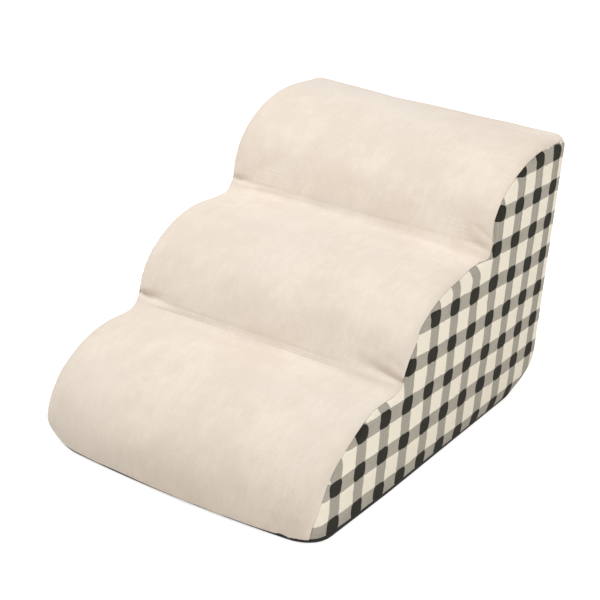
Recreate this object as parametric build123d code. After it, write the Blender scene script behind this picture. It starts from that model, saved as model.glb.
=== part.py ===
"""Three-step foam pet stairs in a zip-off fabric cover.

Millimetres. X runs across the width, +Y from the low front to the high back, +Z up. The origin lies
on the floor, under the middle of the stairs' box.
"""
from build123d import *
from math import atan, cos, degrees, radians, sin, sqrt, tan
import os

# Overall size of the covered stairs
stair_width = 400.0
stair_depth = 592.0
floor_z = 0.0

# The three steps, from the front: rise of each, and depth to the next riser as a share of the whole
step_rises = (130.0, 112.0, 123.0)
step_going_shares = (0.311, 0.336)

# Each step ends in a rounded nose: a tight lower arc, then a flatter crown that runs on and rises
nose_foot_radius = 93.0
nose_crown_runs = (35.0, 35.0, 55.0)
nose_crown_rises = (13.0, 13.0, 17.0)
valley_radius = 18.0
crest_radius = 16.0

# The heel rounds forward below its height, then runs slanting down to the floor
heel_height = 45.0
heel_radius = 38.0
heel_turn = 60.0

# The soft front swells forward in the middle of the width
front_bow = 12.0

# Rounded edges along the sides, and along the front and sides of the base
side_edge_radius = 18.0
base_edge_radius = 6.0

# Cover of padded fabric, the ease between it and the foam, and where its panels meet
cover_thickness = 3.0
cover_ease = 0.3
inner_edge_bevel = 10.0
side_seam_inset = 8.0
back_seam_drop = 10.0
back_wrap = 50.0
base_rim_height = 5.0

# Zip across the back panel, closed at the +X end
zip_height = 74.0
zip_side_margin = 32.0
tape_thickness = 0.7
tape_width = 13.0
tape_tail = 8.0

# Teeth of the zip, moulded on the tape edges: dovetails that reach past the middle and hook together
tooth_pitch = 3.6
tooth_thickness = 2.4
tooth_root_reach = 2.2
tooth_tip_reach = 0.9
tooth_flare = 0.3
tooth_gap = 0.1

# Slider that closes the teeth, with the post that parts them at its front
slider_length = 11.0
slider_wall = 1.0
slider_flange = 1.1
slider_throat_length = 5.0
slider_corner_radius = 0.9
slider_play = 0.25
slider_slot_play = 0.8
slider_sunk = 0.2
post_length = 3.6
post_width = 2.0
post_tip_width = 0.8

# Bridge on the slider, and the pull that turns in it
bridge_length = 7.2
bridge_width = 2.0
bridge_wall = 1.0
pull_thickness = 1.2
pull_play = 0.5
pull_leg_width = 1.0
pull_leg_gap = 0.3
pull_length = 24.0
pull_tip_width = 6.0
pull_corner_radius = 1.0
pull_hole_radius = 1.2
pull_hole_margin = 1.5

# Stops clamped on the tape edges at the two ends of the teeth
stop_length = 2.2
stop_reach = 1.2
stop_wall = 0.8

# How far cutting blocks run past what they cut, and how close a face counts as touching
cut_overrun = 10.0
touching = 0.003

# Places that follow from the sizes
half_width = stair_width / 2
bridge_opening = pull_thickness + 2 * pull_play
bridge_rise = bridge_opening + bridge_wall
box_depth = stair_depth + bridge_rise - slider_sunk
front_y = -box_depth / 2
back_y = front_y + stair_depth
tread_levels = tuple(sum(step_rises[: step + 1]) for step in range(len(step_rises)))
step_goings = tuple(share * stair_depth for share in step_going_shares)
riser_feet = tuple(front_y + sum(step_goings[:step]) for step in range(len(step_rises)))
nose_depths = tuple(nose_foot_radius + run for run in nose_crown_runs)
nose_heights = tuple(nose_foot_radius + rise for rise in nose_crown_rises)
top_z = tread_levels[-1]
core_inset = cover_thickness + cover_ease

# Depths of the zip's layers, measured in Y
tape_inner_y = back_y - cover_thickness
tape_y = tape_inner_y + tape_thickness / 2
channel_half_depth = tooth_thickness / 2 + slider_play
plate_outer_y = back_y - slider_sunk
plate_inner_y = tape_y - channel_half_depth - slider_wall

# Reaches of the zip above and below its middle line
tape_reach = tooth_root_reach + tape_width
rear_channel_half = tooth_root_reach + slider_play
front_channel_half = post_width / 2 + tooth_root_reach + tooth_tip_reach + 2 * slider_play
slider_rear_half = rear_channel_half + slider_flange
slider_front_half = front_channel_half + slider_flange
slot_half_height = slider_front_half + slider_slot_play

# Places along the zip
zip_end_x = half_width - zip_side_margin
slider_x = zip_end_x - stop_length - slider_play - slider_length / 2
tooth_middle_width = tooth_pitch / 2 - tooth_gap
tooth_tip_width = tooth_middle_width + tooth_flare
tooth_root_width = tooth_middle_width - tooth_flare * tooth_root_reach / tooth_tip_reach
first_tooth_x = -zip_end_x + stop_length + slider_play + tooth_tip_width / 2
last_tooth_x = slider_x + slider_length / 2 - post_length - slider_play - tooth_tip_width / 2

# The pull's pin turns in the middle of the bridge's opening
pull_pin_y = plate_outer_y + pull_play + pull_thickness / 2
pull_inner_half = bridge_width / 2 + pull_leg_gap
pull_outer_half = pull_inner_half + pull_leg_width
pull_window_end = bridge_length / 2 + bridge_wall + pull_leg_gap


def nose_crown_radius(step):
    """Radius of the crown arc that joins the nose's lower arc and ends level at its top."""
    overhang = nose_depths[step] - nose_foot_radius
    height = nose_heights[step]
    return (overhang**2 + height**2 - nose_foot_radius**2) / (2 * (height - nose_foot_radius))


def arc_between(centre, radius, start, end):
    """Arc about a centre from one point to another, the short way round."""
    middle = ((start - centre).normalized() + (end - centre).normalized()).normalized()
    return ThreePointArc(start, centre + middle * radius, end)


def front_outline(inset, floor):
    """Upright edge from the floor given to the foot of the first nose."""
    front = front_y + inset
    return [Line(Vector(front, floor), Vector(front, tread_levels[0] - nose_heights[0]))]


def valley_outline(step, inset, foot_centre):
    """Hollow arc that runs from the tread below into the nose's lower arc, touching both."""
    foot_radius = nose_foot_radius - inset
    valley = valley_radius + inset
    valley_z = tread_levels[step - 1] - inset + valley
    reach = foot_radius + valley
    valley_y = foot_centre.X - sqrt(reach**2 - (foot_centre.Y - valley_z) ** 2)
    valley_centre = Vector(valley_y, valley_z)
    start = valley_centre - Vector(0, valley)
    foot_top = foot_centre + (valley_centre - foot_centre).normalized() * foot_radius
    return [arc_between(valley_centre, valley, start, foot_top)]


def step_outline(step, inset, floor):
    """Edges of one step, from its valley or the base at its front to the level end of its nose."""
    top = tread_levels[step] - inset
    foot_radius = nose_foot_radius - inset
    foot_centre = Vector(riser_feet[step] + nose_foot_radius, tread_levels[step] - nose_heights[step])
    crown_radius = nose_crown_radius(step) - inset
    crown_centre = Vector(riser_feet[step] + nose_depths[step], top - crown_radius)
    joint = foot_centre + (foot_centre - crown_centre).normalized() * foot_radius
    nose_end = Vector(crown_centre.X, top)
    edges = front_outline(inset, floor) if step == 0 else valley_outline(step, inset, foot_centre)
    edges.append(arc_between(foot_centre, foot_radius, edges[-1] @ 1, joint))
    edges.append(arc_between(crown_centre, crown_radius, joint, nose_end))
    return edges


def rear_outline(inset, floor):
    """Edges from the top's back edge, down the back and round the heel to the floor given."""
    crest = crest_radius - inset
    heel = heel_radius - inset
    crest_centre = Vector(back_y - crest_radius, top_z - crest_radius)
    heel_centre = Vector(back_y - heel_radius, heel_height)
    crest_top = crest_centre + Vector(0, crest)
    crest_back = crest_centre + Vector(crest, 0)
    heel_back = heel_centre + Vector(heel, 0)
    turn = radians(heel_turn)
    heel_end = heel_centre + Vector(heel * cos(turn), -heel * sin(turn))
    slant_run = (heel_end.Y - floor) * tan(turn)
    return [
        arc_between(crest_centre, crest, crest_top, crest_back),
        Line(crest_back, heel_back),
        arc_between(heel_centre, heel, heel_back, heel_end),
        Line(heel_end, Vector(heel_end.X - slant_run, floor)),
    ]


def upper_profile(inset, floor):
    """Side profile of all steps behind the first, down to the floor given, on the YZ plane."""
    edges = []
    for step in range(1, len(step_rises)):
        outline = step_outline(step, inset, floor)
        if edges:
            edges.append(Line(edges[-1] @ 1, outline[0] @ 0))
        edges += outline
    rear = rear_outline(inset, floor)
    edges.append(Line(edges[-1] @ 1, rear[0] @ 0))
    edges += rear
    start = edges[0] @ 0
    foot = Vector(start.X, floor)
    edges.append(Line(edges[-1] @ 1, foot))
    edges.append(Line(foot, start))
    return Plane.YZ * make_face(edges)


def first_step_solid(inset, half, floor):
    """First step with its front bowed: its section is turned about an upright axis far behind."""
    rear_y = riser_feet[1]
    edges = step_outline(0, inset, floor)
    tread_end = Vector(rear_y, tread_levels[0] - inset)
    rear_foot = Vector(rear_y, floor)
    edges.append(Line(edges[-1] @ 1, tread_end))
    edges.append(Line(tread_end, rear_foot))
    edges.append(Line(rear_foot, edges[0] @ 0))
    section = Plane.YZ * make_face(edges)
    bow_radius = (half_width**2 + front_bow**2) / (2 * front_bow)
    bow_axis = Axis((0, front_y + bow_radius, 0), (0, 0, 1))
    half_turn = degrees(atan(half / (front_y + bow_radius - rear_y)))
    turned = revolve(section.rotate(bow_axis, -half_turn), bow_axis, 2 * half_turn)
    slab = Pos(0, front_y, floor) * Box(
        2 * half, stair_depth, top_z, align=(Align.CENTER, Align.MIN, Align.MIN)
    )
    return turned & slab


def stair_solid(inset, half, floor):
    """The stairs with sharp side edges, drawn in by the inset, of the half width and floor given."""
    upper = extrude(upper_profile(inset, floor), half, both=True)
    return upper + first_step_solid(inset, half, floor)


def side_edges(block, half, floor):
    """The edges of a block that lie in its two side planes, above the floor given."""
    found = []
    for edge in block.edges():
        box = edge.bounding_box()
        in_side_plane = abs(abs(box.min.X) - half) < touching and box.max.X - box.min.X < touching
        if in_side_plane and box.max.Z > floor + touching:
            found.append(edge)
    return found


def outer_block():
    """The covered stairs as one solid, with rounded side edges and a rounded edge round the base."""
    block = stair_solid(0, half_width, floor_z - side_edge_radius)
    block = fillet(side_edges(block, half_width, floor_z), side_edge_radius) & layer(floor_z, top_z)
    front_edges = [
        edge
        for edge in block.edges()
        if edge.bounding_box().max.Z < floor_z + touching and edge.bounding_box().max.Y < riser_feet[1]
    ]
    return fillet(front_edges, base_edge_radius)


def inner_block(inset):
    """The stairs drawn in by the inset all round, with bevelled side edges inside the rounded ones."""
    half = half_width - inset
    floor = floor_z + inset
    bevel = inner_edge_bevel - (2 - sqrt(2)) * (inset - cover_thickness)
    block = stair_solid(inset, half, floor_z - side_edge_radius)
    return chamfer(side_edges(block, half, floor), bevel) & layer(floor, top_z)


def layer(low, high):
    """Room between two heights that is wider and deeper than the stairs."""
    return Pos(0, 0, low) * Box(
        stair_width + 2 * cut_overrun,
        box_depth + 2 * cut_overrun,
        high - low,
        align=(Align.CENTER, Align.CENTER, Align.MIN),
    )


def side_room(side):
    """Room that one side panel fills: inside the side seam's line and above the base's rim."""
    wide = stair_solid(side_seam_inset, half_width + cut_overrun, floor_z - side_edge_radius)
    edge_band = Pos(side * half_width, 0, base_rim_height) * Box(
        2 * side_edge_radius, 2 * stair_depth, top_z, align=(Align.CENTER, Align.CENTER, Align.MIN)
    )
    return wide & edge_band


def back_room(low, high):
    """Room about the back and the heel, between two heights."""
    return Pos(0, back_y - back_wrap, low) * Box(
        stair_width + 2 * cut_overrun,
        back_wrap + cut_overrun,
        high - low,
        align=(Align.CENTER, Align.MIN, Align.MIN),
    )


def zip_block(half_length, half_height, near_y, far_y):
    """Block about the zip's middle line, from one depth to another."""
    return Pos(0, near_y, zip_height) * Box(
        2 * half_length, far_y - near_y, 2 * half_height, align=(Align.CENTER, Align.MIN, Align.CENTER)
    )


def cover_panels():
    """The cover's panels by name: one shell over the foam, parted along its seams."""
    skin = outer_block() - inner_block(cover_thickness)
    base_layer = layer(floor_z - cut_overrun, base_rim_height)
    left_room = side_room(-1)
    right_room = side_room(1)
    above = skin - base_layer
    middle = above - left_room - right_room
    back_top = top_z - back_seam_drop
    slot = zip_block(zip_end_x, slot_half_height, tape_inner_y - cut_overrun, back_y + cut_overrun)
    tape_bed = zip_block(zip_end_x + tape_tail, tape_reach, tape_inner_y, tape_inner_y + tape_thickness)
    return {
        "base_panel": skin & base_layer,
        "side_panel_left": above & left_room,
        "side_panel_right": above & right_room,
        "tread_panel": middle - back_room(floor_z, back_top),
        "back_panel_lower": (middle & back_room(base_rim_height, zip_height)) - slot - tape_bed,
        "back_panel_upper": (middle & back_room(zip_height, back_top)) - slot - tape_bed,
    }


def foam_core():
    """The foam block, with the shallow hollow that the zip presses into its back."""
    hollow = zip_block(zip_end_x, slot_half_height, plate_inner_y - slider_play, back_y + cut_overrun)
    return inner_block(core_inset) - hollow


def standing_plate(outline, near_y, far_y):
    """Plate with an outline drawn in X and Z, from one depth to another."""
    return Pos(0, far_y, 0) * extrude(Plane.XZ * outline, far_y - near_y)


def zip_tape(side):
    """One woven tape, from the teeth's roots outward; side is 1 above the middle line, -1 below."""
    middle_z = zip_height + side * (tooth_root_reach + tape_width / 2)
    return Pos(0, tape_y, middle_z) * Box(2 * (zip_end_x + tape_tail), tape_thickness, tape_width)


def zip_tooth():
    """One tooth of the upper row, which widens from its root at the tape's edge to its tip."""
    outline = Polygon(
        (-tooth_root_width / 2, tooth_root_reach),
        (-tooth_tip_width / 2, -tooth_tip_reach),
        (tooth_tip_width / 2, -tooth_tip_reach),
        (tooth_root_width / 2, tooth_root_reach),
        align=None,
    )
    return standing_plate(outline, tape_y - tooth_thickness / 2, tape_y + tooth_thickness / 2)


def zip_teeth(side):
    """One row of teeth; the row below stands half a pitch along, so that the tips hook together."""
    tooth = zip_tooth() if side > 0 else zip_tooth().rotate(Axis.Y, 180)
    start = first_tooth_x if side > 0 else first_tooth_x + tooth_pitch / 2
    count = int((last_tooth_x - start) / tooth_pitch) + 1
    places = [Pos(start + index * tooth_pitch, 0, zip_height) for index in range(count)]
    return Compound(children=[place * tooth for place in places])


def clamp(low, high):
    """Block over the tape edges between two heights about the middle line, one stop long."""
    thickness = tape_thickness + 2 * stop_wall
    return Pos(0, tape_y, zip_height + low) * Box(
        stop_length, thickness, high - low, align=(Align.CENTER, Align.CENTER, Align.MIN)
    )


def zip_top_stops():
    """Two stops at the closed end, one clamped on each tape."""
    outer = tooth_root_reach + stop_reach
    inner = post_width / 2
    place = Pos(zip_end_x - stop_length / 2, 0, 0)
    upper = place * clamp(inner, outer) - zip_tape(1)
    lower = place * clamp(-outer, -inner) - zip_tape(-1)
    return Compound(children=[upper, lower])


def zip_bottom_stop():
    """One stop at the open end, clamped on both tapes."""
    outer = tooth_root_reach + stop_reach
    stop = Pos(-zip_end_x + stop_length / 2, 0, 0) * clamp(-outer, outer)
    return stop - zip_tape(1) - zip_tape(-1)


def zip_slider():
    """Slider: two plates joined by the post, flanges round the teeth, and the bridge on its back."""
    front = slider_length / 2
    throat = slider_throat_length - front
    mouth = front + cut_overrun
    mouth_slope = (front_channel_half - rear_channel_half) / (front - throat)
    mouth_half = front_channel_half + cut_overrun * mouth_slope
    outline = Polygon(
        (-front, -slider_rear_half),
        (front, -slider_front_half),
        (front, slider_front_half),
        (-front, slider_rear_half),
        align=None,
    )
    body = standing_plate(fillet(outline.vertices(), slider_corner_radius), plate_inner_y, plate_outer_y)
    channel = Polygon(
        (-mouth, -rear_channel_half),
        (throat, -rear_channel_half),
        (mouth, -mouth_half),
        (mouth, mouth_half),
        (throat, rear_channel_half),
        (-mouth, rear_channel_half),
        align=None,
    )
    post = Polygon(
        (front, -post_width / 2),
        (front, post_width / 2),
        (front - post_length, post_tip_width / 2),
        (front - post_length, -post_tip_width / 2),
        align=None,
    )
    tape_slit = Box(2 * mouth, tape_thickness + 2 * slider_play, 2 * mouth)
    body = body - standing_plate(channel, tape_y - channel_half_depth, tape_y + channel_half_depth)
    body = body - Pos(0, tape_y, 0) * tape_slit
    body = body + standing_plate(post, plate_inner_y + slider_wall / 2, plate_outer_y - slider_wall / 2)
    arch = Pos(0, plate_outer_y - slider_wall / 2, 0) * Box(
        bridge_length,
        bridge_rise + slider_wall / 2,
        bridge_width,
        align=(Align.CENTER, Align.MIN, Align.CENTER),
    )
    crown_edges = arch.edges().filter_by(Axis.Z).group_by(Axis.Y)[-1]
    arch = fillet(crown_edges, bridge_wall)
    opening = Pos(0, plate_outer_y, 0) * Box(
        bridge_length - 2 * bridge_wall,
        bridge_opening,
        2 * bridge_width,
        align=(Align.CENTER, Align.MIN, Align.CENTER),
    )
    return Pos(slider_x, 0, zip_height) * (body + (arch - opening))


def zip_pull():
    """Pull lying flat: a pin through the bridge, a leg on each side of it, and a tab with a hole."""
    pin_radius = pull_thickness / 2
    tab_outline = Polygon(
        (pull_window_end, -pull_outer_half),
        (pull_length, -pull_tip_width / 2),
        (pull_length, pull_tip_width / 2),
        (pull_window_end, pull_outer_half),
        align=None,
    )
    tip_corners = tab_outline.vertices().group_by(Axis.X)[-1]
    tab_outline = fillet(tip_corners, pull_corner_radius)
    hole_x = pull_length - pull_hole_margin - pull_hole_radius
    tab_outline = tab_outline - Pos(hole_x, 0) * Circle(pull_hole_radius)
    tab = standing_plate(tab_outline, -pin_radius, pin_radius)
    pin = Cylinder(pin_radius, 2 * pull_outer_half)
    legs = Box(
        pull_window_end, pull_thickness, 2 * pull_outer_half, align=(Align.MIN, Align.CENTER, Align.CENTER)
    )
    window = Pos(-pin_radius, 0, 0) * Box(
        pull_window_end + pin_radius,
        2 * pull_thickness,
        2 * pull_inner_half,
        align=(Align.MIN, Align.CENTER, Align.CENTER),
    )
    return Pos(slider_x, pull_pin_y, zip_height) * (tab + (legs - window) + pin)


if __name__ == "__main__":
    os.makedirs("parts", exist_ok=True)
    parts = cover_panels()
    parts["foam_core"] = foam_core()
    parts["zipper_tape_upper"] = zip_tape(1)
    parts["zipper_tape_lower"] = zip_tape(-1)
    parts["zipper_teeth_upper"] = zip_teeth(1)
    parts["zipper_teeth_lower"] = zip_teeth(-1)
    parts["zipper_top_stops"] = zip_top_stops()
    parts["zipper_bottom_stop"] = zip_bottom_stop()
    parts["zipper_slider"] = zip_slider()
    parts["zipper_pull"] = zip_pull()
    for name, shape in parts.items():
        export_step(shape, f"parts/{name}.step")
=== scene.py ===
"""Foam pet stairs in a zip-off cover of plush and gingham. Metres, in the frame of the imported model."""

import bpy
import numpy as np
from math import acos, atan2, cos, pi, radians, sin, sqrt, tan
from mathutils import Matrix, Vector


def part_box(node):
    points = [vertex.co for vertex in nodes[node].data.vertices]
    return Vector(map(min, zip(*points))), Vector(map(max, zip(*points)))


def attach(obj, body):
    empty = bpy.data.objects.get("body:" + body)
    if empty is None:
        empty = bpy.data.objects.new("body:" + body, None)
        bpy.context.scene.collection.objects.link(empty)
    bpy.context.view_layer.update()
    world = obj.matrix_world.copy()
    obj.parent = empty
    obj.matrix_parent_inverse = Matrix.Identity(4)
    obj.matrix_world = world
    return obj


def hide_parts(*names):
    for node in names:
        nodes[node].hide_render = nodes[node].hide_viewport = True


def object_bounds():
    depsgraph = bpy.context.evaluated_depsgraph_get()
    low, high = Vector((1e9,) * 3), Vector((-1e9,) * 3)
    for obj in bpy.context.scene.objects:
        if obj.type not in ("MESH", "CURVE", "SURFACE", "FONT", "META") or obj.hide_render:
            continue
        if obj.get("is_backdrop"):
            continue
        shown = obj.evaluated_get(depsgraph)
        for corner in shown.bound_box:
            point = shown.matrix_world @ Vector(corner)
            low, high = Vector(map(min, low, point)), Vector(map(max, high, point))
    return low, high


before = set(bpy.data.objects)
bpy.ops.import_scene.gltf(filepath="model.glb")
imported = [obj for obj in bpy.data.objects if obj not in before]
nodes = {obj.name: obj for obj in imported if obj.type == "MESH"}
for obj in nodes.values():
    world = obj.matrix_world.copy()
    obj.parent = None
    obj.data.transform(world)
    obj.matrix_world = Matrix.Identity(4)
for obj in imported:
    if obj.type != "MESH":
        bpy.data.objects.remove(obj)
cad_low, cad_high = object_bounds()
scene = bpy.context.scene
mm = 0.001

# Camera: a long lens, in front of the stairs and to their right, tipped a little to one side.
image_size = 600
focal_pixels = 1474.9
sensor_width = 36.0
centre_pixel = (299.3, 301.3)
camera_place = Vector((0.8957, -1.5048, 0.8686))
camera_azimuth = radians(31.263)
camera_elevation = radians(22.206)
camera_roll = radians(4.737)

level_back = Vector((sin(camera_azimuth), -cos(camera_azimuth), 0))
back_axis = level_back * cos(camera_elevation) + Vector((0, 0, sin(camera_elevation)))
level_right = (-back_axis).cross(Vector((0, 0, 1))).normalized()
level_down = (-back_axis).cross(level_right)
right_axis = cos(camera_roll) * level_right - sin(camera_roll) * level_down
down_axis = sin(camera_roll) * level_right + cos(camera_roll) * level_down
camera = bpy.data.objects.new("camera", bpy.data.cameras.new("camera"))
camera.data.sensor_width = sensor_width
camera.data.lens = focal_pixels / image_size * sensor_width
camera.data.shift_x = 0.5 - centre_pixel[0] / image_size
camera.data.shift_y = centre_pixel[1] / image_size - 0.5
camera.data.clip_start = 0.05
camera.data.clip_end = 50
turn = Matrix((right_axis, -down_axis, back_axis)).transposed().to_4x4()
camera.matrix_world = Matrix.Translation(camera_place) @ turn
scene.collection.objects.link(camera)
scene.camera = camera


# Studio: a floor that shows white to the camera but keeps the soft shadow, under a warm white sky, one
# wide lamp high on the left and a weaker one towards the stairs' right side.
def wire(tree, source, target):
    """Joins one socket to another; a plain number or colour is set on the target instead."""
    if isinstance(source, bpy.types.NodeSocket):
        tree.links.new(source, target)
    else:
        target.default_value = source


def new_node(tree, kind, **values):
    """A new node of one kind, with sockets, numbers or colours for the inputs that are named."""
    node = tree.nodes.new("ShaderNode" + kind)
    for name, value in values.items():
        wire(tree, value, node.inputs[name])
    return node


def faced_piece(name, points, faces, material):
    """A piece made of a list of points and a list of faces, which name their points by number."""
    mesh = bpy.data.meshes.new(name)
    mesh.from_pydata(points, [], faces)
    mesh.materials.append(material)
    piece = bpy.data.objects.new(name, mesh)
    scene.collection.objects.link(piece)
    return piece


def calc(tree, operation, *values):
    """The result socket of a Math node fed with sockets or numbers."""
    node = tree.nodes.new("ShaderNodeMath")
    node.operation = operation
    for value, socket in zip(values, node.inputs):
        wire(tree, value, socket)
    return node.outputs[0]


def seen_directly(tree):
    """1 for rays of the camera, of mirrors and of glass, and 0 for rays that light the object."""
    path = tree.nodes.new("ShaderNodeLightPath")
    seen = calc(tree, "MAXIMUM", path.outputs["Is Camera Ray"], path.outputs["Is Glossy Ray"])
    return calc(tree, "MAXIMUM", seen, path.outputs["Is Transmission Ray"])


sky_strength = 0.41
sky_colour = (1.0, 0.96, 0.92, 1)
floor_colour = (0.80, 0.785, 0.765, 1)
floor_glow = 0.70
floor_half = 6.0
lamp_size = 2.0
lamp_aim = Vector((0.0, 0.0, 0.15))
lamps = (("top_lamp", Vector((-1.2, -0.6, 2.4)), 44.5), ("side_lamp", Vector((2.5, -0.5, 1.3)), 31.0))

scene.view_settings.view_transform = "Standard"
world = bpy.data.worlds.new("studio_sky")
scene.world = world
world.use_nodes = True
sky = world.node_tree
sky.nodes.clear()
lighting = new_node(sky, "Background", Color=sky_colour, Strength=sky_strength)
backdrop = new_node(sky, "Background", Color=(1, 1, 1, 1), Strength=1.0)
sky_mix = new_node(sky, "MixShader")
for socket, source in zip(sky_mix.inputs, (seen_directly(sky), lighting.outputs[0], backdrop.outputs[0])):
    wire(sky, source, socket)
new_node(sky, "OutputWorld", Surface=sky_mix.outputs[0])

floor_material = bpy.data.materials.new("studio_floor")
floor_material.use_nodes = True
ground = floor_material.node_tree
ground.nodes.clear()
matt = new_node(ground, "BsdfDiffuse", Color=floor_colour)
glow = new_node(ground, "Emission", Strength=calc(ground, "MULTIPLY", seen_directly(ground), floor_glow))
ground_sum = new_node(ground, "AddShader")
wire(ground, matt.outputs[0], ground_sum.inputs[0])
wire(ground, glow.outputs[0], ground_sum.inputs[1])
new_node(ground, "OutputMaterial", Surface=ground_sum.outputs[0])
floor_corners = [(x * floor_half, y * floor_half, 0) for x, y in ((-1, -1), (1, -1), (1, 1), (-1, 1))]
floor = faced_piece("studio_floor", floor_corners, [(0, 1, 2, 3)], floor_material)
floor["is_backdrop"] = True

for name, lamp_place, lamp_power in lamps:
    lamp = bpy.data.objects.new(name, bpy.data.lights.new(name, "AREA"))
    lamp.data.shape = "DISK"
    lamp.data.size = lamp_size
    lamp.data.energy = lamp_power
    lamp_turn = (lamp_place - lamp_aim).to_track_quat("Z", "Y").to_matrix().to_4x4()
    lamp.matrix_world = Matrix.Translation(lamp_place) @ lamp_turn
    scene.collection.objects.link(lamp)

# Foam core: one soft polyurethane block cut to the three rounded steps. The cover is pulled over it,
# and it shows only in the slot behind the open zip.
stair_half_width = 200 * mm
front_y = cad_low.y
back_y = front_y + 592 * mm
tread_levels = (130 * mm, 242 * mm, 365 * mm)
riser_places = (front_y, front_y + 184.112 * mm, front_y + 383.024 * mm)
nose_foot_radius = 93 * mm
nose_runs = (35 * mm, 35 * mm, 55 * mm)
nose_rises = (13 * mm, 13 * mm, 17 * mm)
valley_radius = 18 * mm
crest_radius = 16 * mm
heel_height = 45 * mm
heel_radius = 38 * mm
heel_turn = radians(60)
side_radius = 18 * mm
flat_half = stair_half_width - side_radius
front_bow = 12 * mm
bow_fade = 38 * mm
left_corner = (60 * mm, 34 * mm)
right_corner = (34 * mm, 34 * mm)
rear_corner = (48 * mm, 60 * mm)
roll_under = 9 * mm
roll_height = 34 * mm
roll_places = (-120 * mm, 270 * mm)
front_roll = 4 * mm
front_roll_reach = 80 * mm
foam_voxel = 6 * mm
foam_slack = 2.2 * mm
foam_dent = 9 * mm
dent_reach = 18 * mm


def straight(start, end, pitch=0.5 * mm):
    """A run of (y, z, normal y, normal z) from start to end, with the normal on its left."""
    start, end = np.array(start), np.array(end)
    length = np.linalg.norm(end - start)
    share = np.linspace(0, 1, int(length / pitch) + 2)[:, None]
    along = (end - start) / length
    return np.hstack([start + share * (end - start), np.tile((-along[1], along[0]), (len(share), 1))])


def arc(centre, radius, start, end, hollow=False, pitch=0.5 * mm):
    """A round run of (y, z, normal y, normal z) between two angles, which bulges unless it is hollow."""
    angle = np.linspace(start, end, int(abs(end - start) * radius / pitch) + 2)
    out = np.column_stack([np.cos(angle), np.sin(angle)])
    return np.hstack([np.array(centre) + radius * out, -out if hollow else out])


def stair_profile():
    """The side view's outline, from the front hem over the steps and down the back to the floor: each
    nose is a foot arc and a flatter crown arc tangent to it, and a small hollow arc leads from the
    tread below into the next foot arc. Returns distances along it, its points and normals, and where
    along it the hollow arcs start."""
    runs, hollows = [], []
    tread_end = None
    for riser, level, run, rise in zip(riser_places, tread_levels, nose_runs, nose_rises):
        foot = (riser + nose_foot_radius, level - nose_foot_radius - rise)
        crown_radius = nose_foot_radius + (run**2 + rise**2) / (2 * rise)
        crown = (foot[0] + run, level - crown_radius)
        meet = atan2(foot[1] - crown[1], foot[0] - crown[0])
        foot_start = pi
        if tread_end is None:
            runs.append(straight((riser, 0), (riser, foot[1])))
        else:
            lift = tread_end[1] + valley_radius
            reach = nose_foot_radius + valley_radius
            valley = (foot[0] - sqrt(reach**2 - (foot[1] - lift) ** 2), lift)
            turn = atan2(foot[1] - valley[1], foot[0] - valley[0])
            runs.append(straight(tread_end, (valley[0], tread_end[1])))
            runs.append(arc(valley, valley_radius, -pi / 2, turn, hollow=True))
            hollows.append((valley[0], tread_end[1]))
            foot_start = turn + pi
        runs.append(arc(foot, nose_foot_radius, foot_start, meet))
        runs.append(arc(crown, crown_radius, meet, pi / 2))
        tread_end = (crown[0], level)
    crest = (back_y - crest_radius, tread_levels[-1] - crest_radius)
    heel = (back_y - heel_radius, heel_height)
    heel_end = (heel[0] + heel_radius * cos(heel_turn), heel[1] - heel_radius * sin(heel_turn))
    runs.append(straight(tread_end, (crest[0], tread_levels[-1])))
    runs.append(arc(crest, crest_radius, pi / 2, 0))
    runs.append(straight((back_y, crest[1]), (back_y, heel_height)))
    runs.append(arc(heel, heel_radius, 0, -heel_turn))
    runs.append(straight(heel_end, (heel_end[0] - heel_end[1] * tan(heel_turn), 0)))
    outline = np.vstack(runs)
    gaps = np.linalg.norm(np.diff(outline[:, :2], axis=0), axis=1)
    outline = outline[np.concatenate([[True], gaps > 0.01 * mm])]
    distances = np.concatenate([[0], np.cumsum(np.linalg.norm(np.diff(outline[:, :2], axis=0), axis=1))])
    starts = [distances[np.argmin(np.linalg.norm(outline[:, :2] - hollow, axis=1))] for hollow in hollows]
    return distances, outline, starts


profile_run, profile, hollow_starts = stair_profile()
crest_place = int(np.argmax(profile[:, 1]))


def on_profile(run):
    """(y, z, normal y, normal z) at distances along the stairs' outline."""
    y, z, normal_y, normal_z = (np.interp(run, profile_run, profile[:, k]) for k in range(4))
    length = np.hypot(normal_y, normal_z)
    return y, z, normal_y / length, normal_z / length


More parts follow.
